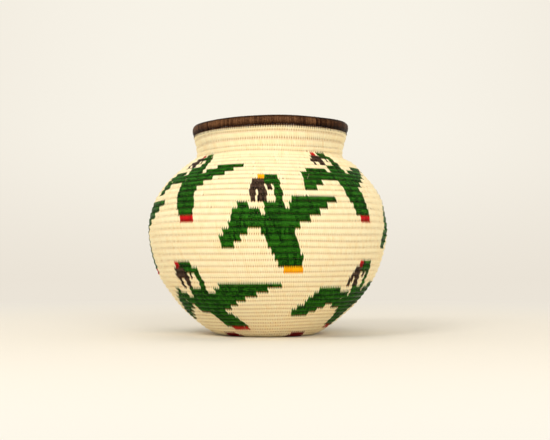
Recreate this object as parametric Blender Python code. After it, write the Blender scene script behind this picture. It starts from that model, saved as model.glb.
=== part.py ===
"""Coiled pictorial basket: a round-bellied palm-fibre jar with a short neck and a dark rim.

The basket is one coil of wrapped fibre that winds up from a start knot under the base to the rim.
Each turn of that coil is a row, sewn to the row below it, and each row is an object of its own.
The rows climb a spiral, so no row is a closed ring: each starts where the last one ended, at the back.

Metres, +Z up, front towards -Y. The origin is the centre of the base, on the surface it stands on.
"""

import math

import bmesh
import bpy
from mathutils import Vector

MM = 0.001

# Outer shape: BELLY_RADIUS and LIP_HEIGHT drive it. The flat base reaches a share of that radius, and each
# station of the wall's outer skin lies at a share of that radius and a share of that height.
BELLY_RADIUS = 79.6 * MM
LIP_HEIGHT = 135.3 * MM
BASE_SHARE = 0.366
STATIONS = {
    "heel": (0.46, 0.0163),
    "bowl": (0.603, 0.0754),
    "lower": (0.779, 0.1737),
    "flank": (0.9235, 0.312),
    "belly": (1.0, 0.5026),
    "chest": (0.964, 0.6386),
    "upper": (0.874, 0.7339),
    "shoulder": (0.791, 0.7864),
    "throat": (0.671, 0.8492),
    "neck": (0.612, 0.8788),
    "lip": (0.646, 1.0),
}

# The wall and its coil
WALL = 4.4 * MM
GROOVE_DEPTH = 0.9 * MM
SEAM_GAP = 0.3 * MM

# The flat base: the start knot, the rows that wind round it, and the strip on each that touches the table
KNOT_RADIUS = 3.8 * MM
BASE_ROWS = 7
FOOT_FLAT = 1.8 * MM

# Rows up to the places where the coil's thickness changes: the flank, upper and neck stations, then the top
# of the thin collar row, where the thick rows of the neck start, and a little past the lip, under the rim coil
LOWER_ROWS = 18
BELLY_ROWS = 15
SHOULDER_ROWS = 8
COLLAR_ROWS = 1
NECK_ROWS = 3
COLLAR_HEIGHT = 2.6 * MM
NECK_END = 1.2 * MM

# The rim coil is thicker than the rows, proud of the wall on both sides, and laps over the last row.
# It climbs like the rows, and over its last share of a turn it thins, to end level with its own start.
RIM_HEIGHT = 6.2 * MM
RIM_END_HEIGHT = 1.3 * MM
RIM_TAPER = 0.2
RIM_PROUD = 0.2 * MM
RIM_ROUND = 1.7 * MM
RIM_LAP = 2.0 * MM

# Sections round one turn, and steps between two stations of the outline
SECTIONS = 24
OUTLINE_STEPS = 24

# Turns start and end at the back, so the front lies half a turn on
FRONT = 0.5

BASE_RADIUS = BASE_SHARE * BELLY_RADIUS


def outline():
    """The wall's outer skin as (radius, height) points, from the base's centre to the lip.

    The base is flat out to BASE_RADIUS. From there the curve passes smoothly through the stations:
    each span is a Hermite curve whose end directions follow the neighbouring stations.
    """
    stations = [Vector((BASE_RADIUS, 0.0))]
    for radius_share, height_share in STATIONS.values():
        stations.append(Vector((radius_share * BELLY_RADIUS, height_share * LIP_HEIGHT)))
    directions = [Vector((1.0, 0.0))]
    for before, after in zip(stations, stations[2:]):
        directions.append((after - before).normalized())
    directions.append((stations[-1] - stations[-2]).normalized())
    points = [Vector((0.0, 0.0))]
    for i in range(len(stations) - 1):
        start, end = stations[i], stations[i + 1]
        reach = (end - start).length
        for step in range(OUTLINE_STEPS):
            t = step / OUTLINE_STEPS
            points.append(
                (2 * t**3 - 3 * t**2 + 1) * start
                + (t**3 - 2 * t**2 + t) * reach * directions[i]
                + (3 * t**2 - 2 * t**3) * end
                + (t**3 - t**2) * reach * directions[i + 1]
            )
    points.append(stations[-1])
    return points


OUTLINE = outline()
LENGTHS = [0.0]
for here, there in zip(OUTLINE, OUTLINE[1:]):
    LENGTHS.append(LENGTHS[-1] + (there - here).length)


def station_length(station):
    """The length along the outline at a named station. The spans before it start at the base's edge."""
    spans = 1 + list(STATIONS).index(station)
    return LENGTHS[1 + spans * OUTLINE_STEPS]


def span_of(values, value):
    """The index of the value that ends the span in which a value lies, or the last one past the end."""
    i = 1
    while i < len(values) - 1 and values[i] < value:
        i += 1
    return i


def along(length):
    """The outline's point and outward direction at a length along it from the base's centre.

    Past the lip it runs straight on, and that is where the rim coil lies.
    """
    i = span_of(LENGTHS, length)
    share = (length - LENGTHS[i - 1]) / (LENGTHS[i] - LENGTHS[i - 1])
    point = OUTLINE[i - 1] + share * (OUTLINE[i] - OUTLINE[i - 1])
    first = OUTLINE[max(i - 2, 0)]
    last = OUTLINE[min(i + 1, len(OUTLINE) - 1)]
    tangent = (last - first).normalized()
    return point, Vector((tangent.y, -tangent.x))


# Each zone's name, its number of rows, and the length along the outline that it reaches at the front
ZONES = (
    ("base", BASE_ROWS, BASE_RADIUS),
    ("lower", LOWER_ROWS, station_length("flank")),
    ("belly", BELLY_ROWS, station_length("upper")),
    ("shoulder", SHOULDER_ROWS, station_length("neck")),
    ("collar", COLLAR_ROWS, station_length("neck") + COLLAR_HEIGHT),
    ("neck", NECK_ROWS, station_length("lip") + NECK_END),
)
ZONE_TURNS = [0.0]
ZONE_LENGTHS = [KNOT_RADIUS]
ALL_ROWS = 0
for zone, rows, end in ZONES:
    ALL_ROWS += rows
    ZONE_TURNS.append(ALL_ROWS + FRONT)
    ZONE_LENGTHS.append(end)


def seam(turns):
    """The length along the outline of the seam under the coil, after that many turns.

    It climbs evenly between two zones' ends, and past the last one it climbs on at the same rate.
    """
    i = span_of(ZONE_TURNS, turns)
    share = (turns - ZONE_TURNS[i - 1]) / (ZONE_TURNS[i] - ZONE_TURNS[i - 1])
    return ZONE_LENGTHS[i - 1] + share * (ZONE_LENGTHS[i] - ZONE_LENGTHS[i - 1])


def place(length, depth, angle):
    """A point at a length along the outline, that deep under the outer skin, at an angle about +Z."""
    point, outward = along(length)
    radius, height = point - depth * outward
    return Vector((radius * math.cos(angle), radius * math.sin(angle), height))


def row_section(low, high, flat):
    """(length, depth) corners of a row between two seams: flat on its seams, ridged outside and inside.

    With flat over 0, the outer ridge is pressed to a strip that wide, as on the rows that it stands on.
    """
    middle = (low + high) / 2
    ridge = [(middle - flat / 2, 0.0), (middle + flat / 2, 0.0)] if flat else [(middle, 0.0)]
    return [
        (low, GROOVE_DEPTH),
        *ridge,
        (high, GROOVE_DEPTH),
        (high, WALL - GROOVE_DEPTH),
        (middle, WALL),
        (low, WALL - GROOVE_DEPTH),
    ]


def rim_section(low, high):
    """(length, depth) corners of the rim coil: an eight-sided bar proud of the wall.

    Its corners are cut by RIM_ROUND, or by a third of the bar's height where it is thinner.
    """
    outer, inner = -RIM_PROUD, WALL + RIM_PROUD
    cut = min(RIM_ROUND, (high - low) / 3)
    return [
        (low, outer + cut),
        (low + cut, outer),
        (high - cut, outer),
        (high, outer + cut),
        (high, inner - cut),
        (high - cut, inner),
        (low + cut, inner),
        (low, inner - cut),
    ]


def angle_of(turn_share):
    """A turn starts at the back and winds by the left side, the front and the right side."""
    return math.pi / 2 + 2 * math.pi * turn_share


def loft(name, sections, material):
    """A closed bar through (angle, corners) sections, with flat ends."""
    shape = bmesh.new()
    rings = []
    for angle, corners in sections:
        rings.append([shape.verts.new(place(length, depth, angle)) for length, depth in corners])
    sides = len(rings[0])
    for ring, following in zip(rings, rings[1:]):
        for i in range(sides):
            j = (i + 1) % sides
            shape.faces.new((ring[i], ring[j], following[j], following[i]))
    shape.faces.new(rings[0])
    shape.faces.new(rings[-1])
    return finished(name, shape, material)


def finished(name, shape, material):
    """Turns a bmesh into a named object of the basket, with its faces pointing out."""
    bmesh.ops.recalc_face_normals(shape, faces=shape.faces)
    mesh = bpy.data.meshes.new(name)
    shape.to_mesh(mesh)
    shape.free()
    mesh.materials.append(material)
    mesh.shade_smooth()
    mesh.set_sharp_from_angle(angle=math.radians(50))
    made = bpy.data.objects.new(name, mesh)
    basket.objects.link(made)
    return made


def turn_shares(gap):
    """The shares of a turn at which sections stand, with half the gap left at each end of the turn."""
    shares = [section / SECTIONS for section in range(SECTIONS + 1)]
    shares[0] = gap / 2
    shares[-1] = 1.0 - gap / 2
    return shares


def end_gap(turns):
    """The share of a turn that a SEAM_GAP takes up at the radius where the coil then is."""
    radius = along(seam(turns))[0].x
    return SEAM_GAP / (2 * math.pi * radius)


def build_row(name, turns, flat, lap, material):
    """One turn of the coil that starts after that many turns, less what laps over its top."""
    sections = []
    for share in turn_shares(end_gap(turns)):
        low = seam(turns + share) + SEAM_GAP / 2
        high = seam(turns + share + 1) - lap - SEAM_GAP / 2
        sections.append((angle_of(share), row_section(low, high, flat)))
    return loft(name, sections, material)


def rim_height(share):
    """The rim coil's height at a share of its turn: full at first, then eased down to its thin end."""
    t = max(0.0, 1.0 - (1.0 - share) / RIM_TAPER)
    eased = t * t * (3 - 2 * t)
    return RIM_HEIGHT + (RIM_END_HEIGHT - RIM_HEIGHT) * eased


def build_rim(material):
    """The rim coil, the last turn, whose thin end meets its own start at the back."""
    sections = []
    for share in turn_shares(end_gap(ALL_ROWS)):
        low = seam(ALL_ROWS + share) - RIM_LAP + SEAM_GAP / 2
        sections.append((angle_of(share), rim_section(low, low + rim_height(share))))
    return loft("rim_coil", sections, material)


def build_knot(material):
    """The start knot: a button whose edge is the first seam, so that it has one step at the back."""
    shape = bmesh.new()
    layers = []
    for height in (0.0, WALL - GROOVE_DEPTH):
        edge = []
        for share in turn_shares(end_gap(0)):
            radius = seam(share) - SEAM_GAP / 2
            angle = angle_of(share)
            edge.append(shape.verts.new((radius * math.cos(angle), radius * math.sin(angle), height)))
        layers.append(edge)
    bottom, top = layers
    for i in range(len(bottom)):
        j = (i + 1) % len(bottom)
        shape.faces.new((bottom[i], bottom[j], top[j], top[i]))
    shape.faces.new(bottom)
    shape.faces.new(top)
    return finished("start_knot", shape, material)


def palm(name, colour, roughness):
    """A palm-fibre finish: its colour, dull, never metallic."""
    material = bpy.data.materials.new(name)
    material.use_nodes = True
    surface = material.node_tree.nodes["Principled BSDF"]
    surface.inputs["Base Color"].default_value = (*colour, 1.0)
    surface.inputs["Roughness"].default_value = roughness
    surface.inputs["Metallic"].default_value = 0.0
    material.diffuse_color = (*colour, 1.0)
    return material


for leftover in list(bpy.data.objects):
    bpy.data.objects.remove(leftover)
basket = bpy.data.collections.new("coiled_basket")
bpy.context.scene.collection.children.link(basket)

natural = palm("natural_palm", (0.87, 0.77, 0.53), 0.65)
dyed_dark = palm("dark_palm", (0.05, 0.028, 0.018), 0.4)

build_knot(natural)
turns_made = 0
for zone, rows, end in ZONES:
    for row in range(1, rows + 1):
        foot = FOOT_FLAT if zone == "base" else 0.0
        lap = RIM_LAP if turns_made == ALL_ROWS - 1 else 0.0
        build_row(f"{zone}_row_{row:02d}", turns_made, foot, lap, natural)
        turns_made += 1
build_rim(dyed_dark)
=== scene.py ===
# %% [markdown]
# # A coiled jar basket in Blender
# This basket is one long bundle of palm fibre, coiled up from a button under its base to the rim. A thin
# strip of palm, here called a strand, wraps the bundle and at each wrap bites into the row below, and so
# it sews the coil together. Coloured strands make the birds. The lesson builds the same things in the same
# order: the outline, the coil, the count of stitches, the birds, the strands, and last the light.
#
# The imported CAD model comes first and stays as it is. It has one plain solid for each row of the coil, and
# each finished row replaces its solid, in the same place.

# %% Load the CAD model
import math

import bpy
import numpy as np
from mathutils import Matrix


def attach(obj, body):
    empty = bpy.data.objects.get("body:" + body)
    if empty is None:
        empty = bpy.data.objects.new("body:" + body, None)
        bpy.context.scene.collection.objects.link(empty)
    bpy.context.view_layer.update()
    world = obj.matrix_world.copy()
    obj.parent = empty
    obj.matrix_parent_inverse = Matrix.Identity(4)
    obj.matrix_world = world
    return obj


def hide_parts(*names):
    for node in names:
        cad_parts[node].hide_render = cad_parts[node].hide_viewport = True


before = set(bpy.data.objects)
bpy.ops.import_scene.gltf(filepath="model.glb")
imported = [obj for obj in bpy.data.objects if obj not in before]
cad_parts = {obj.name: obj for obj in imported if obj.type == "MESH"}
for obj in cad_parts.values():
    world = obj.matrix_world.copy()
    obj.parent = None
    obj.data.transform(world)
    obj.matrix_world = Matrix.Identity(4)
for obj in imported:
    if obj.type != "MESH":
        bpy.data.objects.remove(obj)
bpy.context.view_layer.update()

# %% [markdown]
# ## The outline
# A maker steers the shape of a jar with the place of each new row. Here a few stations give the outer
# skin, and a smooth curve joins them. A Blender curve object could do that, but a Hermite curve in numpy
# gives the same points as the CAD source, so that the rows land where their solids are.

# %% Sizes of the outline
MM = 0.001
BELLY_RADIUS = 79.6 * MM
LIP_HEIGHT = 135.3 * MM
BASE_SHARE = 0.366
# Heel, bowl, lower, flank, belly, chest, upper, shoulder, throat, neck and lip: each a share of the belly's
# radius and a share of the lip's height
STATION_SHARES = np.array([
    (0.46, 0.0163), (0.603, 0.0754), (0.779, 0.1737), (0.9235, 0.312), (1.0, 0.5026), (0.964, 0.6386),
    (0.874, 0.7339), (0.791, 0.7864), (0.671, 0.8492), (0.612, 0.8788), (0.646, 1.0),
])
OUTLINE_STEPS = 24
PAST_LIP = 12 * MM
print("belly", 2 * BELLY_RADIUS / MM, "mm across, lip", LIP_HEIGHT / MM, "mm up")


# %% The outline as a curve
def unit(vectors):
    """Each vector divided by its own length."""
    return vectors / np.linalg.norm(vectors, axis=-1, keepdims=True)


def outline():
    """Rows of (radius, height) along the outer skin.

    Between stations a and b with directions p and q, the point at share t is
    (2t3 - 3t2 + 1) a + (t3 - 2t2 + t) L p + (3t2 - 2t3) b + (t3 - t2) L q, with L the distance a to b.
    """
    base_edge = [[BASE_SHARE * BELLY_RADIUS, 0.0]]
    stations = np.vstack([base_edge, STATION_SHARES * [BELLY_RADIUS, LIP_HEIGHT]])
    first, last = [[1.0, 0.0]], unit(stations[-1:] - stations[-2:-1])
    directions = np.vstack([first, unit(stations[2:] - stations[:-2]), last])
    start, end = stations[:-1, None], stations[1:, None]
    reach = np.linalg.norm(end - start, axis=-1, keepdims=True)
    t = (np.arange(OUTLINE_STEPS) / OUTLINE_STEPS)[None, :, None]
    curve = (
        (2 * t**3 - 3 * t**2 + 1) * start
        + (t**3 - 2 * t**2 + t) * reach * directions[:-1, None]
        + (3 * t**2 - 2 * t**3) * end
        + (t**3 - t**2) * reach * directions[1:, None]
    )
    past = stations[-1] + PAST_LIP * directions[-1]
    return np.vstack([[[0.0, 0.0]], curve.reshape(-1, 2), stations[-1:], [past]])


skin = outline()
skin_lengths = np.concatenate([[0.0], np.cumsum(np.linalg.norm(np.diff(skin, axis=0), axis=1))])
skin_tangents = unit(np.gradient(skin, skin_lengths, axis=0))
print("the skin is", round(skin_lengths[-2] / MM, 2), "mm long from the base's centre to the lip")

# %% A point on the skin
# A jar worked by hand is never quite true. This one leans to the right as it rises, by a share of the
# height over the belly, and its mouth sags at both sides
LEAN_SHARE = 0.02
LEAN_PIVOT = 66 * MM
MOUTH_SAG = 1.8 * MM
SAG_START = 66 * MM
SAG_REACH = 74 * MM
# The strands ride a little higher (mm) on the wall than their row's solid. The rise grows in over the
# first of these lengths, past the base's edge, and goes out over the second, under the lip
STRAND_RISE = 0.4
RISE_IN = 20 * MM
RISE_OUT = 6 * MM
# Columns: waves in a turn, waves in a metre of the outline, start, and height (mm) of the rows' small waves
WAVES = np.array([
    (2, 9.0, 0.7, 0.14),
    (3, -14.0, 2.9, 0.13),
    (5, 23.0, 5.1, 0.10),
    (8, -31.0, 1.3, 0.06),
])
# Where the photographed rows ride high or low. Columns: degrees to the right of the front, millimetres
# along the outline, how far each of the two reaches, and the rise (mm)
RIDES = np.array([
    (-24, 142, 34, 20, 1.4),
    (-13, 153, 22, 9, 0.6),
    (-26, 165, 24, 10, 0.6),
    (-46, 128, 16, 10, 0.5),
    (34, 114, 34, 11, -0.8),
    (-22, 88, 44, 14, -0.6),
    (12, 85, 20, 7, 0.4),
    (27, 182, 17, 11, -0.6),
    (-30, 184, 22, 10, 0.3),
    (72, 184, 18, 12, 0.9),
    (40, 160, 20, 10, 0.6),
])
# Where the photographed wall stands out or lies in, with the same columns
BULGES = np.array([
    (90, 171, 36, 7, 1.3),
    (90, 130, 30, 9, -0.8),
    (-90, 75, 36, 12, -0.7),
])


def swell(table, length, angle):
    """The sum, in mm, of a table's soft mounds.

    Each is its size times e to the minus squares of the distances from its middle over its reaches.
    """
    total = 0.0
    for middle, along, reach, reach_along, size in table:
        aside = np.degrees(angle + math.pi / 2) - middle
        aside = (aside + 180.0) % 360.0 - 180.0
        total = total + size * np.exp(-(aside / reach) ** 2 - ((length / MM - along) / reach_along) ** 2)
    return total


def waver(length, angle):
    """The length along the outline, moved by what is uneven in rows laid by eye.

    The small waves are a sum of sines of the angle and the length. STRAND_RISE fades out under the rim.
    All fade in over the base's edge, since the base lies flat.
    """
    fade = np.clip((length - skin_lengths[1]) / RISE_IN, 0.0, 1.0)
    rise = STRAND_RISE * np.clip((skin_lengths[-2] - length) / RISE_OUT, 0.0, 1.0)
    for turns, per_metre, start, size in WAVES:
        rise = rise + size * np.sin(turns * angle + 2 * math.pi * per_metre * length + start)
    return length + fade * (rise + swell(RIDES, length, angle)) * MM


def place(length, depth, angle):
    """The point at a length along the outline, that deep under the skin, at an angle about +Z.

    It is the skin's (radius, height) at that length, less depth times the outward normal, turned by the
    angle. The normal is the tangent turned by a quarter. Then the lean moves it by x, and the sag lowers
    it by MOUTH_SAG times the square of the rise over the belly times the square of the angle's cosine.
    The basket's weight has pressed its base flat, so nothing lies under a height of 0.
    """
    length = waver(length, angle)
    depth = depth - swell(BULGES, length, angle) * MM
    radius = np.interp(length, skin_lengths, skin[:, 0])
    height = np.interp(length, skin_lengths, skin[:, 1])
    along_radius = np.interp(length, skin_lengths, skin_tangents[:, 0])
    along_height = np.interp(length, skin_lengths, skin_tangents[:, 1])
    size = np.hypot(along_radius, along_height)
    radius = radius - depth * along_height / size
    height = height + depth * along_radius / size
    lean = LEAN_SHARE * (height - LEAN_PIVOT)
    sag = MOUTH_SAG * np.clip((height - SAG_START) / SAG_REACH, 0.0, 1.0) ** 2 * np.cos(angle) ** 2
    height = np.maximum(height - sag, 0.0)
    return np.stack([radius * np.cos(angle) + lean, radius * np.sin(angle), height], axis=-1)


# %% [markdown]
# ## The coil
# One turn of the coil is a row. Rows aren't stacked rings: the seam between two rows climbs by one row in
# a turn, so the whole jar is a spiral. All places on the coil are given by turns, counted from the start
# at the back of the base, and a share of the way up the row.

# %% Turns of the coil
ZONES = {"base": 7, "lower": 18, "belly": 15, "shoulder": 8, "collar": 1, "neck": 3}
ROWS = sum(ZONES.values())
KNOT_RADIUS = 3.8 * MM
COLLAR_HEIGHT = 2.6 * MM
NECK_END = 1.2 * MM
RIM_LAP = 2.0 * MM
# The front lies half a turn on from the back. The seam runs on past the neck, for the rim
FRONT = 0.5
PAST_ROWS = 2
FLANK, UPPER, NECK, LIP = (1 + OUTLINE_STEPS * np.array([4, 7, 10, 11])).tolist()
zone_turns = np.cumsum([0.0, *ZONES.values(), PAST_ROWS])
zone_turns[1:] += FRONT
zone_lengths = np.array([
    KNOT_RADIUS, skin_lengths[1], skin_lengths[FLANK], skin_lengths[UPPER], skin_lengths[NECK],
    skin_lengths[NECK] + COLLAR_HEIGHT, skin_lengths[LIP] + NECK_END, 0.0,
])
zone_lengths[-1] = zone_lengths[-2] + PAST_ROWS * (zone_lengths[-2] - zone_lengths[-3]) / ZONES["neck"]
print("zones end at turns", zone_turns.tolist())


def seam(turns):
    """The length along the outline of the seam under the coil: straight between the zones' ends."""
    return np.interp(turns, zone_turns, zone_lengths)


def angle_of(turns):
    """A turn starts at the back and winds by the left, the front and the right."""
    return math.pi / 2 + 2 * math.pi * turns


# %% [markdown]
# ## The stitches
# A stitch is one wrap of the strand. Its width sets how many go round a row. The stitches are counted
# along the whole coil at once: the count grows by the row's length over the stitch's width, and its
# inverse gives the place of every stitch. Each tip goes down into a gap between two stitches of the row
# below, a little to the right, as the hand does it. That is what makes the fine zigzag seams.

# %% The count of the stitches
# The stitches' width at some turns. The count is worked out in fine steps, from a turn before the coil's
# start to just past the end of the rim
PITCH_TURNS = [-1.0, 7.5, 25.5, 40.5, 49.5, 53.5]
PITCHES = np.array([1.55, 1.5, 1.36, 1.42, 1.6, 1.62]) * MM
COUNT_FROM, COUNT_PAST, COUNT_STEPS = -1.0, 1.2, 20000
fine_turns = np.linspace(COUNT_FROM, ROWS + COUNT_PAST, COUNT_STEPS + 1)
fine_radius = place(seam(fine_turns + FRONT), 0.0, 0.0)[:, 0]
fine_pitch = np.interp(fine_turns, PITCH_TURNS, PITCHES)
growth = 2 * math.pi * fine_radius / fine_pitch
steps = np.diff(fine_turns) * (growth[1:] + growth[:-1]) / 2
fine_count = np.concatenate([[0.0], np.cumsum(steps)])
fine_count -= np.interp(0.0, fine_turns, fine_count)
stitch_count = int(np.interp(ROWS, fine_turns, fine_count))
print(stitch_count, "stitches in the coil")

# %% The place of every stitch
# The tips lean by this share of a stitch, and stitch and tip stray by these shares of one
LEAN = 0.5
STITCH_STRAY, TIP_STRAY = 0.05, 0.06
random = np.random.default_rng(7)
numbers = np.arange(stitch_count)
stitch_turn = np.interp(numbers + 0.5, fine_count, fine_turns)
gap_number = np.round(np.interp(stitch_turn - 1.0, fine_turns, fine_count) + LEAN)
tip_turn = np.interp(gap_number, fine_count, fine_turns) + 1.0
share_of_turn = np.interp(stitch_turn, fine_turns, 1.0 / growth)
stitch_turn = stitch_turn + random.normal(0.0, STITCH_STRAY, stitch_count) * share_of_turn
tip_turn = tip_turn + random.normal(0.0, TIP_STRAY, stitch_count) * share_of_turn
stitch_row = np.clip(np.floor(stitch_turn), 0, ROWS - 1).astype(int)
belly_row = ZONES["base"] + ZONES["lower"] + ZONES["belly"] // 2
print(np.sum(stitch_row == belly_row), "stitches in a belly row")

# %% [markdown]
# ## The birds
# The figures are plain, traditional birds of this kind of basketry, in three tiers of four, and each tier
# is turned by an eighth against the next. An image texture would smear over the stitches. A real maker
# changes the strand instead, so each stitch here is wholly one colour. Each bird is a few plain shapes on
# a chart of degrees and rows, and a stitch takes the colour of the shape that its middle lies in.

# %% Shapes of the birds
NATURAL, GREEN, DARK, RED, GOLD = range(5)

# Corners are (degrees to the right of the bird's own mark, row). The mark is the middle of the tail's tip.
UPPER_BIRD = [
    (GREEN, [(-14.3, 48), (-7.2, 48), (-3.6, 46.9), (-2.2, 45), (-7, 45), (-7, 46), (-12.8, 46),
        (-12.8, 47)]),
    (GREEN, [(-7, 45.2), (-2.2, 45.2), (-1.2, 43), (-0.8, 42), (-13.3, 42), (-14.2, 44), (-8, 44)]),
    (GREEN, [(8, 43), (8, 44), (27.5, 44), (2, 39), (-11.5, 39), (-11.5, 40), (-33.2, 40), (-32.8, 42),
        (1.5, 42), (1.5, 43)]),
    (GREEN, [(-29.5, 43), (-16, 43), (-16, 42), (-30.5, 42)]),
    (GREEN, [(-32.3, 40), (-22, 40), (-23, 39), (-26, 38.8), (-26, 38), (-32.6, 38)]),
    (GREEN, [(-10.5, 39), (1, 39), (3.6, 35.5), (3.8, 34), (-5, 34), (-7.8, 35.6), (-10, 37.5)]),
    (RED, [(-3.8, 33), (3.8, 33), (3.8, 34), (-3.8, 34)]),
    (RED, [(-19.5, 47), (-19.5, 48), (-14.3, 48), (-14.3, 47)]),
    (DARK, [(-21.3, 47), (-12.8, 47), (-12.6, 44), (-17.5, 44), (-17.8, 45), (-22.9, 45), (-22.9, 46),
        (-21.3, 46)]),
    (DARK, [(-22.2, 44), (-22.2, 45), (-20.4, 45), (-20.4, 44)]),
    (DARK, [(-10.8, 45), (-10.8, 46), (-9.4, 46), (-9.4, 45)]),
]
MIDDLE_BIRD = [
    (GREEN, [(-14.4, 41), (-8.6, 41), (-7.2, 40), (-5.4, 36.6), (-4.7, 35), (-14, 35), (-14.9, 36),
        (-9.4, 36), (-9.7, 39), (-14.4, 39)]),
    (GREEN, [(-3.4, 36), (-1.3, 36), (-1.3, 37), (23, 37), (0, 32), (-30.5, 32), (-29.2, 34), (-13.6, 34),
        (-14.1, 35.1), (-3.4, 35.1)]),
    (GREEN, [(-25.7, 36), (-21.4, 36), (-21.4, 35.1), (-16.3, 35), (-16.3, 34), (-29.5, 34), (-27.5, 35)]),
    (GREEN, [(-30.5, 32), (-19.5, 32), (-22, 31), (-26.3, 30), (-28, 29), (-33.5, 29), (-34.4, 30.3),
        (-33, 31.4)]),
    (GREEN, [(-16.5, 32), (-1, 32), (1.6, 29.6), (3.2, 28.3), (4.6, 27), (4.8, 26), (-6.3, 26),
        (-10.8, 28.6), (-12.8, 30.2)]),
    (GOLD, [(-5, 25), (5, 25), (5, 26), (-5, 26)]),
    (GOLD, [(-18.3, 40), (-18.3, 41), (-14.4, 41), (-14.4, 40)]),
    (DARK, [(-20.4, 40), (-20.4, 39), (-21.1, 39), (-21.1, 37), (-20.8, 37), (-20.8, 36), (-18.3, 36),
        (-18.3, 37), (-18.7, 37), (-18.7, 38), (-17.7, 38), (-17.6, 37), (-17.0, 37), (-17.0, 36),
        (-13.2, 36), (-13.2, 37), (-13.7, 38), (-14.2, 38), (-14.2, 39), (-14.4, 40)]),
    (DARK, [(-12.7, 38), (-12.7, 39), (-11.1, 39), (-11.1, 38)]),
]
LOWER_BIRD = [
    (GREEN, [(-26.5, 27), (-20.5, 27), (-15.2, 26), (-12.3, 23), (-12.3, 21), (-25, 21), (-25, 22),
        (-16.4, 22), (-16.4, 24.4), (-17, 25), (-23.5, 25), (-23.5, 26), (-26.5, 26)]),
    (GREEN, [(-4.3, 23), (31.5, 23), (13, 20), (5.5, 19), (-7, 16), (-25.7, 16), (-28.2, 17.5), (-27.6, 18),
        (-48, 18), (-44.5, 20), (-24.8, 20), (-24.8, 21), (-8.3, 21), (-8.3, 22), (-4.3, 22)]),
    (GREEN, [(-37.5, 22), (-34, 22), (-34, 21), (-29, 21), (-29, 20), (-44, 20), (-40, 21)]),
    (GREEN, [(-47.5, 18), (-31, 18), (-31.5, 17), (-36, 17), (-36, 16), (-40.5, 16), (-40.5, 15), (-46, 15),
        (-46, 14), (-58, 14), (-55, 16)]),
    (GREEN, [(-19.5, 16), (-1.9, 16), (3.8, 13.5), (6.8, 12.8), (6.8, 12), (-12, 12), (-14, 13.2),
        (-17, 14.5)]),
    (RED, [(-7, 11), (7, 11), (7, 12), (-7, 12)]),
    (RED, [(-30, 26), (-30, 27), (-26.5, 27), (-26.5, 26)]),
    (DARK, [(-31, 26), (-23.5, 26), (-22, 24.6), (-21.7, 22), (-25, 22), (-25.2, 24), (-27.3, 24),
        (-27.2, 22), (-29.8, 22), (-29.8, 24), (-31.5, 24.2)]),
    (DARK, [(-20.5, 24), (-20.5, 25), (-18.5, 25), (-18.5, 24)]),
]
# The lower bird on the right was worked wider: its near wing reaches further down
WIDE_LOWER_BIRD = [
    (GREEN, [(-13.2, 27), (-6, 27), (-4.9, 25), (-4.2, 23.5), (-1.5, 22), (-3.2, 21.8), (-3.2, 21),
        (-14, 21), (-14.5, 22), (-7.5, 22), (-8.2, 23.5), (-7.3, 25), (-13.2, 25)]),
    (GREEN, [(2.5, 23), (35.5, 23), (4.5, 17), (-23, 17), (-23, 18), (-46, 18), (-42, 20), (-13.2, 20),
        (-13.2, 21), (-1.5, 21), (-1.5, 22), (2.5, 22)]),
    (GREEN, [(-38, 22), (-24.5, 22), (-24.5, 21), (-15.7, 21), (-15.7, 20), (-40.5, 20), (-40.5, 21),
        (-38, 21)]),
    (GREEN, [(-48.7, 18), (-29, 18), (-29.3, 17), (-34.4, 17), (-34.4, 16), (-39, 16), (-39, 15),
        (-50.5, 15), (-50.5, 17), (-48.7, 17)]),
    (GREEN, [(-16.5, 17), (3, 17), (8, 12), (-9.5, 12), (-12.5, 15), (-14.5, 16)]),
    (RED, [(-7, 11), (7, 11), (7, 12), (-7, 12)]),
    (RED, [(-16.7, 26), (-16.7, 27), (-13.2, 27), (-13.2, 26)]),
    (DARK, [(-18.8, 26), (-13.2, 26), (-13.2, 25), (-12.5, 23.4), (-11.5, 22), (-15.8, 22), (-16.8, 23.5),
        (-18, 24), (-18, 22), (-21, 22), (-20.3, 25), (-18.8, 25)]),
    (DARK, [(-10.9, 24), (-10.9, 25), (-9, 25), (-9, 24)]),
]
# A star on the base, of five points
STAR_POINT = np.array([(-28, 3), (-28, 5), (-20, 5), (-7, 10), (7, 10), (20, 5), (28, 5), (28, 3)])
BASE_STAR = [(RED, STAR_POINT + [360 / 5 * point, 0]) for point in range(-2, 3)]

# Each figure's name, its shapes, the degrees to the right of the front at which its mark lies, and the
# colour that stands for gold on it
FIGURES = [
    ("upper_front_left_bird", UPPER_BIRD, -40.0, RED),
    ("upper_front_right_bird", UPPER_BIRD, 50.8, RED),
    ("upper_back_right_bird", UPPER_BIRD, 140.5, RED),
    ("upper_back_left_bird", UPPER_BIRD, 229.5, RED),
    ("middle_front_bird", MIDDLE_BIRD, 12.5, GOLD),
    ("middle_right_bird", MIDDLE_BIRD, 102.5, RED),
    ("middle_back_bird", MIDDLE_BIRD, 191.0, RED),
    ("middle_left_bird", MIDDLE_BIRD, -80.0, RED),
    ("lower_front_left_bird", LOWER_BIRD, -21.0, RED),
    ("lower_front_right_bird", WIDE_LOWER_BIRD, 67.5, RED),
    ("lower_back_right_bird", LOWER_BIRD, 158.0, RED),
    ("lower_back_left_bird", LOWER_BIRD, 248.0, RED),
    ("base_star", BASE_STAR, -38.0, RED),
]
print(len(FIGURES), "figures")


# %% The colour of every stitch
def inside(corners, x, y):
    """True inside a shape: a line to the right from there crosses its edges an odd number of times."""
    corners = np.array(corners, dtype=float)
    x0, y0 = corners[:, :1], corners[:, 1:]
    x1, y1 = np.roll(x0, -1, axis=0), np.roll(y0, -1, axis=0)
    rise = np.where(y1 == y0, 1.0, y1 - y0)
    crossed = ((y0 > y) != (y1 > y)) & (x < x0 + (x1 - x0) * (y - y0) / rise)
    return np.sum(crossed, axis=0) % 2 == 1


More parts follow.
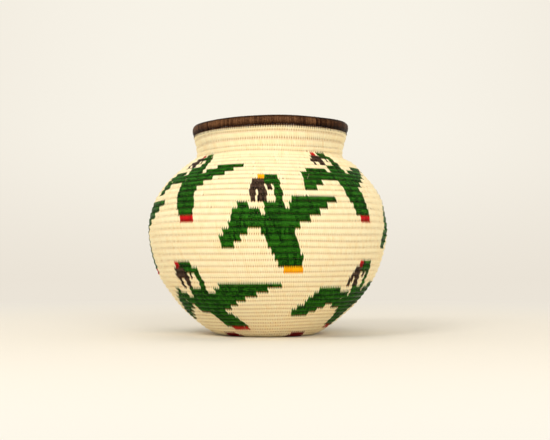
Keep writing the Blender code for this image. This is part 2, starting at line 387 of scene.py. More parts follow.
colour = np.full(stitch_count, NATURAL)
figure = np.full(stitch_count, -1)
middle_turn = (stitch_turn + tip_turn) / 2
for index, (name, shapes, mark, stand_in) in enumerate(FIGURES):
    from_mark = middle_turn - FRONT - mark / 360
    row = np.floor(from_mark + 0.5)
    degrees = (from_mark - row) * 360
    for shade, corners in shapes:
        hit = inside(corners, degrees, row + 0.5)
        colour[hit] = stand_in if shade == GOLD else shade
        figure[hit] = index
print("stitches by colour:", np.bincount(colour, minlength=5).tolist())

# %% [markdown]
# ## The strands
# Seen close, a stitch is a flat strip with a slightly crowned face. It comes up out of the seam above,
# lies over the bundle, narrows, and its tip dives between two stitches of the row below. Curve objects
# with a bevel would give round cords, and hair would give no tips. Instead one small grid per stitch is
# bent along a path on the row, for all stitches at once, and its two edges are joined underneath.

# %% The path of a stitch
# Columns: share of the way up the row, bite into the row below (mm), depth under the skin (mm), width (1
# where it just meets its neighbours), how much of the lean is reached, and how much painted shade an
# undyed and a dyed strand have: in the seams and, on a dyed one, down the row's lower part too
OUTER_PATH = np.array([
    (1.02, 0.00, 1.00, 0.96, 0.00, 1.00, 1.0),
    (0.93, 0.00, 0.52, 1.06, 0.03, 1.00, 0.8),
    (0.80, 0.00, 0.18, 1.12, 0.12, 0.30, 0.3),
    (0.60, 0.00, 0.00, 1.12, 0.30, 0.00, 0.0),
    (0.40, 0.00, 0.02, 1.12, 0.52, 0.00, 0.0),
    (0.22, 0.00, 0.16, 1.08, 0.76, 0.00, 0.3),
    (0.10, 0.00, 0.34, 0.88, 0.90, 0.03, 0.6),
    (0.00, 0.15, 0.38, 0.66, 1.00, 0.00, 0.6),
    (0.00, 0.55, 0.12, 0.48, 1.00, 0.00, 0.3),
    (0.00, 1.00, -0.06, 0.32, 1.00, 0.00, 0.3),
    (0.00, 1.45, -0.14, 0.18, 1.00, 0.05, 0.4),
    (0.00, 1.75, 0.35, 0.08, 1.00, 0.70, 1.0),
])
# The same columns inside the wall, with painted shade at both edges of each stitch
INNER_PATH = np.array([
    (-0.04, 0.0, 3.20, 0.92, 1.0, 1.0, 1.0),
    (0.27, 0.0, 4.30, 1.03, 0.7, 0.1, 0.1),
    (0.73, 0.0, 4.30, 1.03, 0.2, 0.1, 0.1),
    (1.04, 0.0, 3.20, 0.92, 0.0, 1.0, 1.0),
])
# The columns of the painted shade, and then by dye: more painted shade at a strand's edges, where strands
# meet, and how far it rolls
UNDYED, DYED = 5, 6
EDGE_SHADE = {UNDYED: 0.2, DYED: 0.6}
ROLL = {UNDYED: 0.02 * MM, DYED: 0.06 * MM}
# Points across a strand, how far its edges sink, and a usual row's height (mm), for the path's normals
ACROSS = np.array([-1.0, -0.6, 0.6, 1.0])
CROWN = 0.17 * MM
ROW_HEIGHT = 3.6


def row_edges(turns):
    """The seams under and over a row. The last row ends lower, where the rim coil laps over it."""
    return seam(turns), seam(turns + 1.0) - RIM_LAP * (turns > ROWS - 1)


def halfway(values, side):
    """Halfway from each value to the one before (side -1) or after it (side 1). The ends go on evenly."""
    longer = np.concatenate([[2 * values[0] - values[1]], values, [2 * values[-1] - values[-2]]])
    return (values + (longer[2:] if side > 0 else longer[:-2])) / 2


def strand_points(path, turn, tip, roll, edges=row_edges):
    """Points of strands, as an array of (stitch, step along the path, step across, xyz).

    Across the strand u goes from -1 to 1. The turn moves by u times the width times the way to the line
    halfway to the next strand. The length along the outline is the share of the way between the row's
    edges, less the bite. The strand's face is flat with round edges, and a little rolled: its points sink
    by CROWN times the fourth power of u plus a random roll times u, against the path's normal.
    """
    share, bite, depth, width, leaned = path.T[:5, None, :, None]
    run = np.gradient(np.stack([path[:, 0] * ROW_HEIGHT - path[:, 1], path[:, 2]], axis=-1), axis=0)
    normal = unit(np.stack([-run[:, 1], run[:, 0]], axis=-1))
    u = ACROSS[None, None, :]
    middle = turn[:, None, None] + leaned * (tip - turn)[:, None, None]
    reach = 0.0
    for side in (-1, 1):
        edge = halfway(turn, side)[:, None, None] + leaned * halfway(tip - turn, side)[:, None, None]
        reach = reach + np.where(u * side > 0, np.abs(edge - middle), 0.0)
    at = middle + u * width * reach
    low, high = edges(at)
    sink = CROWN * u**4 + random.normal(0.0, roll, len(turn))[:, None, None] * u
    length = low + share * (high - low) - bite * MM - sink * normal[None, :, :1]
    return place(np.maximum(length, 0.0), depth * MM - sink * normal[None, :, 1:], angle_of(at))


stitch_roll = np.where(colour == NATURAL, ROLL[UNDYED], ROLL[DYED])
outer = strand_points(OUTER_PATH, stitch_turn, tip_turn, stitch_roll)
inner = strand_points(INNER_PATH, stitch_turn + share_of_turn, tip_turn, stitch_roll)
print("outer strand grids", outer.shape, "inner strand grids", inner.shape)


# %% Faces of closed strips
def strip_faces(rows, columns):
    """Faces of one closed strip on a grid: its top, the underside that joins its edges, and two ends."""
    grid = np.arange(rows * columns).reshape(rows, columns)
    top = np.stack([grid[:-1, :-1], grid[1:, :-1], grid[1:, 1:], grid[:-1, 1:]], axis=-1).reshape(-1, 4)
    under = np.stack([grid[:-1, -1], grid[1:, -1], grid[1:, 0], grid[:-1, 0]], axis=-1)
    return np.vstack([top, under, grid[0], grid[-1, ::-1]])


def repeated(faces, size, count):
    """The faces of a part with that many points, for so many equal parts one after another."""
    return (faces[None] + (np.arange(count) * size)[:, None, None]).reshape(-1, 4)


print("faces of one outer stitch:", len(strip_faces(len(OUTER_PATH), len(ACROSS))))

# %% From arrays to pieces
SHARP_ANGLE = math.radians(60)


def filled_mesh(name, points, faces, uv, layers):
    """A mesh of four-sided faces from arrays, with a UV map and with point layers such as the tone."""
    mesh = bpy.data.meshes.new(name)
    mesh.vertices.add(len(points))
    mesh.vertices.foreach_set("co", points.astype(np.float32).ravel())
    mesh.loops.add(faces.size)
    mesh.loops.foreach_set("vertex_index", faces.astype(np.int32).ravel())
    mesh.polygons.add(len(faces))
    mesh.polygons.foreach_set("loop_start", (np.arange(len(faces)) * 4).astype(np.int32))
    mesh.polygons.foreach_set("use_smooth", np.ones(len(faces), dtype=bool))
    uv_map = mesh.uv_layers.new(name="strand")
    uv_map.uv.foreach_set("vector", uv[faces.ravel()].astype(np.float32).ravel())
    for label, values in layers.items():
        layer = mesh.attributes.new(label, "FLOAT", "POINT")
        layer.data.foreach_set("value", values.astype(np.float32).ravel())
    mesh.update(calc_edges=True)
    mesh.set_sharp_from_angle(angle=SHARP_ANGLE)
    return mesh


def linked(name, data):
    """A new object in the scene."""
    thing = bpy.data.objects.new(name, data)
    bpy.context.scene.collection.objects.link(thing)
    return thing


def add_piece(name, mesh, material, slot, *nodes):
    """The mesh as a piece that rides on the basket and replaces the CAD nodes, if there are any."""
    mesh.materials.append(material)
    piece = linked(name, mesh)
    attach(piece, "root")
    if nodes:
        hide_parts(*nodes)
    return piece


print("edges over", round(math.degrees(SHARP_ANGLE)), "degrees stay sharp")

# %% Strips, and a piece of many strips
UV_SHIFT = 500.0


def strips(grids, tone, path, dye):
    """Points, faces, UV in millimetres along and across, tone and tint of many equal closed strips.

    The painted shade in the seams is the path's own, with more of it at the strip's two edges, as painted
    shade between strips. Each strip has its own place on the UV map, so that no two show the same fibres.
    """
    count, rows, columns, _ = grids.shape
    shaded = np.clip(path[:, dye, None] + EDGE_SHADE[dye] * (np.abs(ACROSS) == 1.0), 0.0, 1.0)
    faces = repeated(strip_faces(rows, columns), rows * columns, count)
    run = np.linalg.norm(np.diff(grids, axis=1), axis=-1)
    along = np.concatenate([np.zeros((count, 1, columns)), np.cumsum(run, axis=1)], axis=1) / MM
    breadth = np.linalg.norm(grids[:, :, -1] - grids[:, :, 0], axis=-1)[:, :, None] / MM
    shift = random.uniform(0.0, UV_SHIFT, (count, 1, 1))
    uv = np.stack([breadth * ACROSS / 2 + shift, along + shift], axis=-1)
    flat = (count, rows, columns)
    return (
        grids.reshape(-1, 3), faces, uv.reshape(-1, 2),
        np.broadcast_to(tone[:, None, None], flat).ravel(), np.broadcast_to(shaded[None], flat).ravel(),
    )


def strands_piece(name, sets, material, slot, *nodes):
    """One piece of all the strips in the sets."""
    points, faces, uv, tone, shaded = zip(*sets)
    starts = np.cumsum([0] + [len(part) for part in points[:-1]])
    faces = [part + start for part, start in zip(faces, starts)]
    layers = {"tone": np.concatenate(tone), "shaded": np.concatenate(shaded)}
    mesh = filled_mesh(name, np.vstack(points), np.vstack(faces), np.vstack(uv), layers)
    return add_piece(name, mesh, material, slot, *nodes)


print("strips lie up to", UV_SHIFT, "mm apart on the UV map")

# %% [markdown]
# ## The palm finishes
# Split palm is a dull strip with fine fibres along it. No two strips have quite the same tone, and each
# is darkened by painted shade where it goes down into a seam and at its edges. The shader reads three
# things: the strand's own UV map, so that the fibres follow each stitch, its tone, and how much painted
# shade it has. The dyed strands are smoother, and catch small lights on their crowns.

# %% A palm material
# The fine noise is squeezed across the strand (the first number) and drawn out along it (the second)
FIBRE_STRETCH = (5.0, 0.5, 1.0)
PATCH_SCALE = 1.1
# Most of a noise's values lie between these
NOISE_LOW, NOISE_HIGH = 0.35, 0.65
# How far the roughness goes below and above a finish's own
SMOOTHER, ROUGHER = 0.12, 0.15
FIBRE_BUMP, FIBRE_HEIGHT = 0.4, 0.035 * MM


def add_node(nodes, kind, settings=(), **inputs):
    """A new node with settings, and then values on its inputs. A space in a name is an underscore here."""
    node = nodes.new(kind)
    for label, value in dict(settings).items():
        setattr(node, label, value)
    for label, value in inputs.items():
        node.inputs[label.replace("_", " ")].default_value = value
    return node


def join(links, *joins):
    """Links, each from a node's output to another node's input."""
    for source, output, target, entry in joins:
        links.new(source.outputs[output], target.inputs[entry])


def noise_range(nodes, low, high):
    """A noise's usual range of values turned into low to high."""
    return add_node(
        nodes, "ShaderNodeMapRange", From_Min=NOISE_LOW, From_Max=NOISE_HIGH, To_Min=low, To_Max=high
    )


def palm(name, pale, deep, shade_tint, roughness, shine, fibre, speck):
    """Colour: pale to deep by the strand's tone and two noises, then tinted where the strand is sunk.

    The fine noise runs along the fibres and adds up to fibre. The coarse one adds from minus speck to
    speck, in patches about a stitch wide; on the green its paler patches are partly painted glints. The
    tint where the strand is shaded is painted shade.
    """
    material = bpy.data.materials.new(name)
    material.use_nodes = True
    nodes, links = material.node_tree.nodes, material.node_tree.links
    surface = nodes["Principled BSDF"]
    surface.inputs["Specular IOR Level"].default_value = shine
    uv = add_node(nodes, "ShaderNodeUVMap", {"uv_map": "strand"})
    tone = add_node(nodes, "ShaderNodeAttribute", {"attribute_name": "tone"})
    shaded = add_node(nodes, "ShaderNodeAttribute", {"attribute_name": "shaded"})
    stretch = add_node(nodes, "ShaderNodeMapping", Scale=FIBRE_STRETCH)
    fibres = add_node(nodes, "ShaderNodeTexNoise", Scale=1.0, Detail=4.0)
    patches = add_node(nodes, "ShaderNodeTexNoise", Scale=PATCH_SCALE, Detail=2.0)
    specks = noise_range(nodes, -speck, speck)
    mottled = nodes.new("ShaderNodeMath")
    spread = add_node(nodes, "ShaderNodeMath", {"operation": "MULTIPLY_ADD", "use_clamp": True})
    spread.inputs[1].default_value = fibre
    body = add_node(nodes, "ShaderNodeMix", {"data_type": "RGBA"}, A=(*pale, 1.0), B=(*deep, 1.0))
    multiply = {"data_type": "RGBA", "blend_type": "MULTIPLY"}
    tinted = add_node(nodes, "ShaderNodeMix", multiply, B=(*shade_tint, 1.0))
    rough = noise_range(nodes, roughness - SMOOTHER, roughness + ROUGHER)
    bump = add_node(nodes, "ShaderNodeBump", Strength=FIBRE_BUMP, Distance=FIBRE_HEIGHT)
    join(
        links,
        (uv, "UV", stretch, "Vector"),
        (uv, "UV", patches, "Vector"),
        (stretch, "Vector", fibres, "Vector"),
        (patches, "Fac", specks, "Value"),
        (specks, "Result", mottled, 0),
        (tone, "Fac", mottled, 1),
        (fibres, "Fac", spread, 0),
        (mottled, "Value", spread, 2),
        (spread, "Value", body, "Factor"),
        (body, "Result", tinted, "A"),
        (shaded, "Fac", tinted, "Factor"),
        (tinted, "Result", surface, "Base Color"),
        (patches, "Fac", rough, "Value"),
        (rough, "Result", surface, "Roughness"),
        (fibres, "Fac", bump, "Height"),
        (bump, "Normal", surface, "Normal"),
    )
    return material


print("fibres", FIBRE_HEIGHT / MM, "mm high")

# %% The finishes
# Columns: pale and deep colour, tint of the painted shade in seams and at strands' edges, roughness,
# shine, and how far fibres and specks show. On the green the specks are partly painted glints
FINISHES = {
    "natural": ((0.97, 0.88, 0.6), (0.92, 0.74, 0.41), (0.42, 0.17, 0.03), 0.6, 0.1, 0.45, 0.2),
    "green": ((0.035, 0.2, 0.01), (0.001, 0.02, 0.0), (0.06, 0.09, 0.05), 0.25, 0.04, 0.6, 0.6),
    "dark": ((0.12, 0.07, 0.043), (0.01, 0.005, 0.003), (0.08, 0.06, 0.05), 0.25, 0.04, 0.6, 0.4),
    # The rim's colour shows plain in a band along its face, between painted shade at its edges: a painted
    # highlight
    "rim": ((0.23, 0.105, 0.045), (0.03, 0.009, 0.003), (0.08, 0.05, 0.03), 0.25, 0.03, 0.5, 0.3),
    "red": ((0.68, 0.008, 0.01), (0.36, 0.004, 0.006), (0.4, 0.25, 0.25), 0.3, 0.07, 0.45, 0.08),
    # A red darkened as painted shade, for the star under the base
    "shadowed_red": ((0.3, 0.01, 0.008), (0.1, 0.003, 0.002), (0.4, 0.25, 0.25), 0.4, 0.05, 0.45, 0.08),
    "gold": ((1.0, 0.5, 0.004), (0.9, 0.36, 0.002), (0.92, 0.75, 0.5), 0.4, 0.07, 0.45, 0.08),
}
palms = {label: palm(f"{label}_palm_strand", *columns) for label, columns in FINISHES.items()}
# The finish of each colour of stitch
STITCH_FINISHES = ("natural", "green", "dark", "red", "gold")
print(len(palms), "palm finishes")

# %% The tone of every stitch
USUAL_TONE = 0.25
BATCH_TURNS = 0.11


def tones(turns, spread, batch):
    """A tone from 0 to 1 per strand: its own random part, and a slow part for strips of one batch."""
    own = random.normal(0.0, spread, len(turns))
    batch_places = np.arange(0, ROWS + 2, BATCH_TURNS)
    slow = np.interp(turns, batch_places, random.normal(0.0, batch, len(batch_places)))
    return np.clip(USUAL_TONE + own + slow, 0.0, 1.0)


undyed_tone = tones(stitch_turn, spread=0.18, batch=0.1)
dyed_tone = tones(stitch_turn, spread=0.2, batch=0.05)
stitch_tone = np.where(colour == NATURAL, undyed_tone, dyed_tone)
print("tones from", round(stitch_tone.min(), 2), "to", round(stitch_tone.max(), 2))

# %% The wrapped rows
row_names = [f"{zone}_row_{row:02d}" for zone, rows in ZONES.items() for row in range(1, rows + 1)]


def wrap(name, chosen, shade, *nodes):
    """The chosen stitches as one piece of a colour, outside and inside the wall."""
    dye = UNDYED if shade == NATURAL else DYED
    sets = [
        strips(outer[chosen], stitch_tone[chosen], OUTER_PATH, dye),
        strips(inner[chosen], stitch_tone[chosen], INNER_PATH, dye),
    ]
    finish = STITCH_FINISHES[shade]
    return strands_piece(name, sets, palms[finish], f"{finish}_palm", *nodes)


for row, node in enumerate(row_names):
    wrap(f"{node}_wrap", (stitch_row == row) & (colour == NATURAL), NATURAL, node)
for index, (name, _, _, _) in enumerate(FIGURES):
    for shade, label in ((GREEN, "green"), (DARK, "bill"), (RED, "red"), (GOLD, "gold")):
        chosen = (figure == index) & (colour == shade)
        if chosen.any():
            piece = wrap(f"{name}_{label}", chosen, shade)
            # The star under the base is darker with painted shade
            if name == "base_star":
                piece.data.materials[0] = palms["shadowed_red"]
print(len(row_names), "rows wrapped")

# %% [markdown]
# ## The bundle
# Under the strands runs the bundle, many thin fibres laid side by side. It shows only as tan specks in
# the holes between the stitches' tips, but without it one would look through the wall. It is one long
# tube that winds up the spiral, and its fibres run along it.

# %% The bundle in the wall
BUNDLE_SECTION = np.array([
    (0.04, 1.45), (0.2, 0.7), (0.5, 0.42), (0.8, 0.7), (0.96, 1.45),
    (0.96, 2.95), (0.8, 3.7), (0.5, 3.98), (0.2, 3.7), (0.04, 2.95),
])
# Rings of the tube in a turn, how far its ends keep from the coil's (turns), the UV map's step (mm), tone
BUNDLE_STEPS = 110
TUBE_END = 0.002
TUBE_UV_STEP = 1.1
TUBE_TONE = 0.2


def ring_faces(rings, sides):
    """Faces of a tube: each point of each ring joins the next one round it and the next ring's two."""
    grid = np.arange(rings * sides).reshape(rings, sides)
    after = np.roll(grid, -1, axis=1)
    return np.stack([grid[:-1], grid[1:], after[1:], after[:-1]], axis=-1).reshape(-1, 4)


def tube_mesh(name, turns, edges, section):
    """A closed tube along the coil: at each turn a ring of section points (share of the row, depth in mm).

    The two ends are closed by strips of faces from side to side.
    """
    low, high = edges(turns[:, None])
    share, depth = section.T[:, None]
    points = place(low + share * (high - low), depth * MM, angle_of(turns)[:, None])
    rings, sides = points.shape[:2]
    grid = np.arange(rings * sides).reshape(rings, sides)
    faces = ring_faces(rings, sides)
    half = np.arange(1, sides // 2)
    for ring, step in ((grid[0], 1), (grid[-1], -1)):
        cap = np.stack([ring[half - 1], ring[half], ring[-half - 1], ring[-half]], axis=-1)
        faces = np.vstack([faces, cap[:, ::step]])
    run = np.cumsum(np.concatenate([[0.0], np.linalg.norm(np.diff(points[:, 0], axis=0), axis=-1)])) / MM
    across = np.arange(sides)[None, :] * TUBE_UV_STEP
    uv = np.stack(np.broadcast_arrays(across, run[:, None]), axis=-1).reshape(-1, 2)
    level = np.zeros(rings * sides)
    return filled_mesh(name, points.reshape(-1, 3), faces, uv, {"tone": level + TUBE_TONE, "shaded": level})


BUNDLE_FINISH = ((0.55, 0.36, 0.18), (0.3, 0.17, 0.08), (1.0, 1.0, 1.0), 0.8, 0.1, 0.45, 0.08)
bundle_turns = np.linspace(TUBE_END, ROWS - TUBE_END, ROWS * BUNDLE_STEPS)
bundle_mesh = tube_mesh("coil_bundle", bundle_turns, row_edges, BUNDLE_SECTION)
add_piece("coil_bundle", bundle_mesh, palm("bundle_fibre", *BUNDLE_FINISH), "natural_palm")
print("bundle faces", len(bundle_mesh.polygons))

# %% [markdown]
# ## The rim and the start
# The rim is one thicker coil, wrapped all round with dark strand. Its strands show their whole way, so
# their path runs up the inside, over the top, down the outside and into the last row. The button under
# the base is where the coil starts, and its strands all meet in the middle.

# %% The shape of the rim
RIM_HEIGHT = 6.2 * MM
RIM_END_HEIGHT = 1.3 * MM
RIM_TAPER = 0.2
# The last two columns paint shade inside, over the top and low on the face, and leave a band along the upper
# middle of the face plain: a painted highlight
RIM_PATH = np.array([
    (0.02, 0.0, 3.95, 0.92, 0.0, 0.8, 0.8),
    (0.18, 0.0, 4.45, 1.00, 0.0, 0.2, 0.2),
    (0.46, 0.0, 4.60, 1.10, 0.0, 0.0, 0.0),
    (0.74, 0.0, 4.35, 1.10, 0.0, 0.0, 0.0),
    (0.92, 0.0, 3.65, 1.10, 0.0, 0.1, 0.1),
    (1.00, 0.0, 2.60, 1.10, 0.0, 0.7, 0.7),
    (0.99, 0.0, 1.60, 1.10, 0.05, 0.9, 0.9),
    (0.91, 0.0, 0.75, 1.10, 0.15, 0.7, 0.7),
    (0.74, 0.0, 0.15, 1.10, 0.30, 0.1, 0.1),
    (0.50, 0.0, -0.18, 1.10, 0.50, 0.1, 0.1),
    (0.26, 0.0, -0.20, 1.10, 0.75, 0.6, 0.6),
    (0.10, 0.0, 0.12, 1.00, 0.90, 0.9, 0.9),
    (0.00, 0.1, 0.32, 0.76, 1.00, 0.9, 0.9),
    (0.00, 0.6, 0.10, 0.58, 1.00, 0.7, 0.7),
    (0.00, 1.2, -0.06, 0.42, 1.00, 0.6, 0.6),
    (0.00, 1.8, -0.12, 0.26, 1.00, 0.6, 0.6),
    (0.00, 2.1, 0.50, 0.08, 1.00, 1.0, 1.0),
])
RIM_BUNDLE = np.array([
    (0.06, 1.0), (0.2, 0.5), (0.5, 0.25), (0.8, 0.5), (0.93, 1.3),
    (0.93, 3.2), (0.8, 3.9), (0.5, 4.15), (0.2, 4.0), (0.06, 3.4),
])


def rim_edges(turns):
    """The rim's edges. Over its last share of a turn the height eases down by t squared (3 - 2t)."""
    t = np.clip(1.0 - (1.0 - (turns - ROWS)) / RIM_TAPER, 0.0, 1.0)
    low = seam(turns) - RIM_LAP
    return low, low + RIM_HEIGHT + (RIM_END_HEIGHT - RIM_HEIGHT) * t * t * (3 - 2 * t)


print("rim", RIM_HEIGHT / MM, "mm high, and", RIM_END_HEIGHT / MM, "at its end")

# %% The rim coil
RIM_LEAN = 0.2
RIM_BUNDLE_RINGS = 150
RIM_DARKER = 0.05
# From so many degrees to the right of the front on, the maker used a darker batch
BATCH_FROM, BATCH_DARKER = 34, 0.3
# Two single strands are paler: the ones at these degrees, within a little of them
PALE_AT, PALE_WITHIN = (32.6, -45), 0.9
rim_first, rim_last = np.interp([ROWS, ROWS + 1.0], fine_turns, fine_count)
rim_numbers = np.arange(np.ceil(rim_first), np.floor(rim_last))
rim_turn = np.interp(rim_numbers + 0.5, fine_count, fine_turns)
rim_gap = np.round(np.interp(rim_turn - 1.0, fine_turns, fine_count) + RIM_LEAN)
rim_tip = np.interp(rim_gap, fine_count, fine_turns) + 1.0
rim_grid = strand_points(RIM_PATH, rim_turn, rim_tip, ROLL[DYED], rim_edges)
rim_degrees = (rim_turn - ROWS - FRONT) * 360
rim_tone = tones(rim_turn, spread=0.15, batch=0.03) + RIM_DARKER
rim_tone = np.where(rim_degrees > BATCH_FROM, rim_tone + BATCH_DARKER, rim_tone)
for degrees in PALE_AT:
    rim_tone[np.abs(rim_degrees - degrees) < PALE_WITHIN] = 0.0
rim_tone = np.clip(rim_tone, 0.0, 1.0)
rim_set = strips(rim_grid, rim_tone, RIM_PATH, DYED)
strands_piece("rim_wrap", [rim_set], palms["rim"], "dark_palm", "rim_coil")
rim_tube_turns = np.linspace(ROWS + TUBE_END, ROWS + 1.0 - TUBE_END, RIM_BUNDLE_RINGS)
rim_tube = tube_mesh("rim_bundle", rim_tube_turns, rim_edges, RIM_BUNDLE)
add_piece("rim_bundle", rim_tube, palms["rim"], "dark_palm")
print(len(rim_turn), "stitches round the rim")

# %% The start knot
KNOT_STRANDS = 22
KNOT_TONE = 0.3
# The knot's paths have the stitches' columns, and the last two are painted shade as there
KNOT_OUTER = np.array([
    (1.02, 0.0, 1.00, 0.94, 0.0, 0.9, 0.9),
    (0.88, 0.0, 0.40, 1.00, 0.1, 0.3, 0.3),
    (0.65, 0.0, 0.05, 1.02, 0.3, 0.0, 0.0),
    (0.40, 0.0, 0.00, 1.02, 0.6, 0.0, 0.0),
    (0.20, 0.0, 0.10, 1.02, 0.9, 0.3, 0.3),
    (0.00, 0.0, 0.25, 1.00, 1.2, 0.8, 0.8),
])
KNOT_INNER = np.array([
    (0.00, 0.0, 3.90, 1.00, 1.2, 0.8, 0.8),
    (0.30, 0.0, 4.20, 1.02, 0.8, 0.0, 0.0),
    (0.75, 0.0, 4.20, 1.02, 0.2, 0.0, 0.0),
    (1.03, 0.0, 3.20, 0.94, 0.0, 0.9, 0.9),
])


def knot_edges(turns):
    """From the middle of the base to the seam where the coil starts."""
    return np.zeros_like(turns), seam(turns)


knot_turn = (np.arange(KNOT_STRANDS) + 0.5) / KNOT_STRANDS
knot_step = np.full(KNOT_STRANDS, 1.0 / KNOT_STRANDS)
knot_sets = [
    strips(
        strand_points(path, knot_turn, knot_turn + knot_step, ROLL[UNDYED], knot_edges),
        np.full(KNOT_STRANDS, KNOT_TONE), path, UNDYED,
    )
    for path in (KNOT_OUTER, KNOT_INNER)
]
strands_piece("start_knot_wrap", knot_sets, palms["natural"], "natural_palm", "start_knot")
print(KNOT_STRANDS, "strands over the start knot")

# %% [markdown]
# ## Loose ends
# Where a strand ran out, its end was tucked in, and over the years a few fine fibres work loose. They are
# too few for a hair system. Each is a thin tapered tube that leaves a seam and bends.

# %% The lines of the loose fibres
FIBRES = 40
FIBRE_RINGS = 6
# They start on these turns of the coil, a little under the skin, and are so long
FIBRE_TURNS = (9.0, 49.0)
FIBRE_ROOT = 0.3 * MM
FIBRE_LENGTHS = (1.5, 4.0)
# How far their aim strays from straight out, and how far they bend away from it by their end
FIBRE_STRAY = 0.6
FIBRE_BEND = 0.45
fibre_turn = random.uniform(*FIBRE_TURNS, FIBRES)
root = place(seam(fibre_turn), FIBRE_ROOT, angle_of(fibre_turn))
away = unit(place(seam(fibre_turn), -1.0 * MM, angle_of(fibre_turn)) - root)
aim = unit(away + random.normal(0.0, FIBRE_STRAY, (FIBRES, 3)))
bend = unit(random.normal(0.0, 1.0, (FIBRES, 3)))
reach = random.uniform(*FIBRE_LENGTHS, (FIBRES, 1, 1)) * MM
t = np.linspace(0.0, 1.0, FIBRE_RINGS)[None, :, None]
spine = root[:, None] + reach * (t * aim[:, None] + FIBRE_BEND * t**2 * bend[:, None])
print("fibres from", round(reach.min() / MM, 1), "to", round(reach.max() / MM, 1), "mm long")

# %% Loose fibres
FIBRE_SIDES = 4
FIBRE_RADIUS = 0.075 * MM
FIBRE_TAPER = 0.7
FIBRE_TONE = 0.5
sideways = unit(np.cross(aim, bend))[:, None, None]
crosswise = unit(np.cross(sideways[:, 0, 0], aim))[:, None, None]
round_angle = (np.arange(FIBRE_SIDES) * 2 * math.pi / FIBRE_SIDES)[None, None, :, None]
ring = sideways * np.cos(round_angle) + crosswise * np.sin(round_angle)
fibre_points = spine[:, :, None] + ring * FIBRE_RADIUS * (1.0 - FIBRE_TAPER * t)[..., None]
grid = np.arange(FIBRE_RINGS * FIBRE_SIDES).reshape(FIBRE_RINGS, FIBRE_SIDES)
after = np.roll(grid, -1, axis=1)
one_fibre = np.stack([grid[:-1], after[:-1], after[1:], grid[1:]], axis=-1).reshape(-1, 4)
one_fibre = np.vstack([one_fibre, grid[0, ::-1], grid[-1]])
fibre_faces = repeated(one_fibre, grid.size, FIBRES)
level = np.zeros(FIBRES * grid.size)
fibre_uv = np.stack([level, level], axis=-1)
fibre_layers = {"tone": level + FIBRE_TONE, "shaded": level}
loose = filled_mesh("loose_fibres", fibre_points.reshape(-1, 3), fibre_faces, fibre_uv, fibre_layers)
add_piece("loose_fibres", loose, palms["natural"], "natural_palm")
print(FIBRES, "loose fibres")

# %% [markdown]
# ## The table, the light and the camera
# The photograph was taken in a soft studio: a pale sweep, a broad lamp from the upper left and much
# bounced light. The floor near the basket is lit and keeps its shadow. Further out, and on the round wall
# of the studio, the camera sees a plain pale colour, so that no horizon shows.

# %% The studio sweep
# Radius of the floor, radius of the bend and height of the wall (m), and steps of floor, bend and a turn
FLOOR_RADIUS, BEND_RADIUS, WALL_TOP = 1.7, 0.5, 2.6
FLOOR_STEPS, BEND_STEPS, SWEEP_SIDES = 12, 8, 96
# A surface of revolution: flat out to the floor's radius, a quarter circle up, then a wall
curve = np.linspace(0.0, math.pi / 2, BEND_STEPS + 1)[1:]
floor = np.linspace(0.0, FLOOR_RADIUS, FLOOR_STEPS)
bend = FLOOR_RADIUS + BEND_RADIUS * np.sin(curve)
radius = np.concatenate([floor, bend, bend[-1:]])[:, None]
height = np.concatenate([0.0 * floor, BEND_RADIUS - BEND_RADIUS * np.cos(curve), [WALL_TOP]])[:, None]
angle = np.linspace(0.0, 2 * math.pi, SWEEP_SIDES + 1)[None, :-1]
points = np.stack([radius * np.cos(angle), radius * np.sin(angle), height + 0.0 * angle], axis=-1)
points = points.reshape(-1, 3)
sweep_mesh = filled_mesh("studio_sweep", points, ring_faces(len(radius), SWEEP_SIDES), points[:, :2], {})
sweep = linked("studio_sweep", sweep_mesh)
print("sweep", tuple(round(side, 2) for side in sweep.dimensions), "m")

# %% The paper of the sweep
NEAR_PAPER = (0.82, 0.775, 0.69)
# What the camera sees further out, a glow of painted light: in front, behind, up the wall and at the far
# sides. The deeper tints behind and at the far sides are painted shade
FRONT_TINT, BACK_TINT = (0.955, 0.92, 0.82), (0.815, 0.755, 0.66)
WALL_TINT, SIDE_TINT = (0.935, 0.895, 0.80), (0.80, 0.735, 0.645)


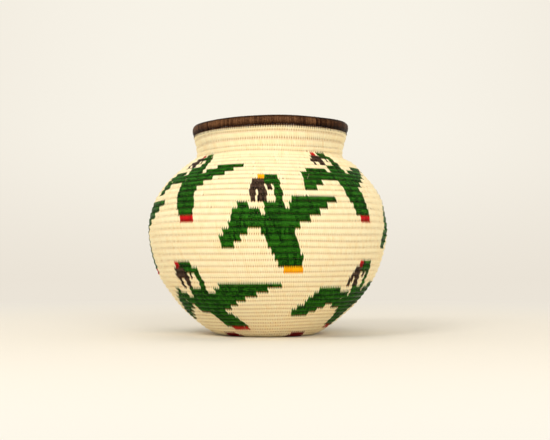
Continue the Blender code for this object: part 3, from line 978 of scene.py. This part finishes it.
def sweep_material():
    """Lit paper near the basket. Further out, a plain colour for what the camera sees, and open elsewhere.

    The plain colour is a glow of painted light, palest in front, a little deeper behind and far out as
    painted shade, and pale again up the wall.
    """
    material = bpy.data.materials.new("studio_paper")
    material.use_nodes = True
    nodes, links = material.node_tree.nodes, material.node_tree.links
    nodes.clear()

    def smooth_range(source, low, high):
        """0 to 1 where a value goes from low to high."""
        smooth = {"interpolation_type": "SMOOTHSTEP"}
        node = add_node(nodes, "ShaderNodeMapRange", smooth, From_Min=low, From_Max=high)
        links.new(source, node.inputs["Value"])
        return node.outputs["Result"]

    def maths(operation, *sources):
        """One arithmetic node on the sources."""
        node = add_node(nodes, "ShaderNodeMath", {"operation": operation})
        for slot, source in enumerate(sources):
            links.new(source, node.inputs[slot])
        return node.outputs["Value"]

    def blend(factor, first, second):
        """A mix of two colours. The first may be another mix."""
        node = add_node(nodes, "ShaderNodeMix", {"data_type": "RGBA"}, B=(*second, 1.0))
        links.new(factor, node.inputs["Factor"])
        if isinstance(first, tuple):
            node.inputs["A"].default_value = (*first, 1.0)
        else:
            links.new(first, node.inputs["A"])
        return node.outputs["Result"]

    apart = nodes.new("ShaderNodeSeparateXYZ")
    links.new(nodes.new("ShaderNodeTexCoord").outputs["Object"], apart.inputs[0])
    x, y, z = apart.outputs
    away = maths("SQRT", maths("ADD", maths("MULTIPLY", x, x), maths("MULTIPLY", y, y)))
    behind = maths("MAXIMUM", smooth_range(y, -0.25, 0.62), smooth_range(away, 0.7, 1.5))
    tint = blend(behind, FRONT_TINT, BACK_TINT)
    tint = blend(smooth_range(z, -0.12, 0.38), tint, WALL_TINT)
    tint = blend(smooth_range(maths("ABSOLUTE", x), 0.2, 1.6), tint, SIDE_TINT)
    glow = nodes.new("ShaderNodeEmission")
    links.new(tint, glow.inputs["Color"])
    path = nodes.new("ShaderNodeLightPath").outputs
    seen = maths("MAXIMUM", path["Is Camera Ray"], path["Is Glossy Ray"])
    seen = maths("MAXIMUM", seen, path["Is Transmission Ray"])
    outside = nodes.new("ShaderNodeMixShader")
    links.new(seen, outside.inputs["Fac"])
    paper = add_node(nodes, "ShaderNodeBsdfDiffuse", Color=(*NEAR_PAPER, 1.0))
    whole = nodes.new("ShaderNodeMixShader")
    links.new(smooth_range(away, 0.2, 0.6), whole.inputs["Fac"])
    join(
        links,
        (nodes.new("ShaderNodeBsdfTransparent"), "BSDF", outside, 1),
        (glow, "Emission", outside, 2),
        (paper, "BSDF", whole, 1),
        (outside, "Shader", whole, 2),
        (whole, "Shader", nodes.new("ShaderNodeOutputMaterial"), "Surface"),
    )
    return material


sweep.data.materials.append(sweep_material())
print("paper", NEAR_PAPER, "near the basket")


# %% Lamps
def area_lamp(name, where, aim, size, power, tint):
    """A square area lamp that looks from one place at another."""
    lamp = bpy.data.lights.new(name, "AREA")
    lamp.size = size
    lamp.energy = power
    lamp.color = tint
    holder = linked(name, lamp)
    away = np.subtract(where, aim)
    yaw = math.atan2(away[0], -away[1])
    tilt = math.atan2(math.hypot(away[0], away[1]), away[2])
    holder.rotation_euler = (tilt, 0.0, yaw)
    holder.location = where
    holder.visible_camera = False
    return holder


AIM = (0.0, 0.0, 0.07)
area_lamp("key_lamp", (-0.8, -1.2, 1.3), AIM, size=0.6, power=10.7, tint=(1.0, 0.98, 0.95))
area_lamp("fill_lamp", (0.45, -1.5, 0.75), AIM, size=0.8, power=8.8, tint=(1.0, 0.965, 0.91))
print("two lamps look at", AIM)

# %% Surroundings
# The air's light grows from the horizon up to this height of a direction, and the same way down
AIR_TINT = (1.0, 0.965, 0.9)
AIR_AT_HORIZON, AIR_ABOVE, AIR_GROWS_TO = 0.65, 0.85, 0.25
world = bpy.data.worlds.new("studio_air")
world.use_nodes = True
nodes, links = world.node_tree.nodes, world.node_tree.links
air = nodes["Background"]
air.inputs["Color"].default_value = (*AIR_TINT, 1.0)
direction = nodes.new("ShaderNodeSeparateXYZ")
steepness = add_node(nodes, "ShaderNodeMath", {"operation": "ABSOLUTE"})
brightness = add_node(
    nodes, "ShaderNodeMapRange", From_Max=AIR_GROWS_TO, To_Min=AIR_AT_HORIZON, To_Max=AIR_ABOVE
)
join(
    links,
    (nodes.new("ShaderNodeTexCoord"), "Generated", direction, 0),
    (direction, "Z", steepness, 0),
    (steepness, "Value", brightness, "Value"),
    (brightness, "Result", air, "Strength"),
)
bpy.context.scene.world = world
bpy.context.scene.view_settings.view_transform = "Standard"
print("surrounding light from", AIR_AT_HORIZON, "to", AIR_ABOVE)

# %% The camera
# The eye level lies this many pixels under the middle of a picture of this width
EYE_DROP, PICTURE_WIDTH = 34, 550
CAMERA_PLACE = (4.7 * MM, -803 * MM, 53.5 * MM)
lens = bpy.data.cameras.new("photo_camera")
lens.lens = 78.5
lens.sensor_width = 36.0
lens.shift_y = EYE_DROP / PICTURE_WIDTH
camera = linked("photo_camera", lens)
camera.location = CAMERA_PLACE
camera.rotation_euler = (math.pi / 2, 0.0, 0.0)
bpy.context.scene.camera = camera
print("camera at", tuple(round(value, 3) for value in camera.location))
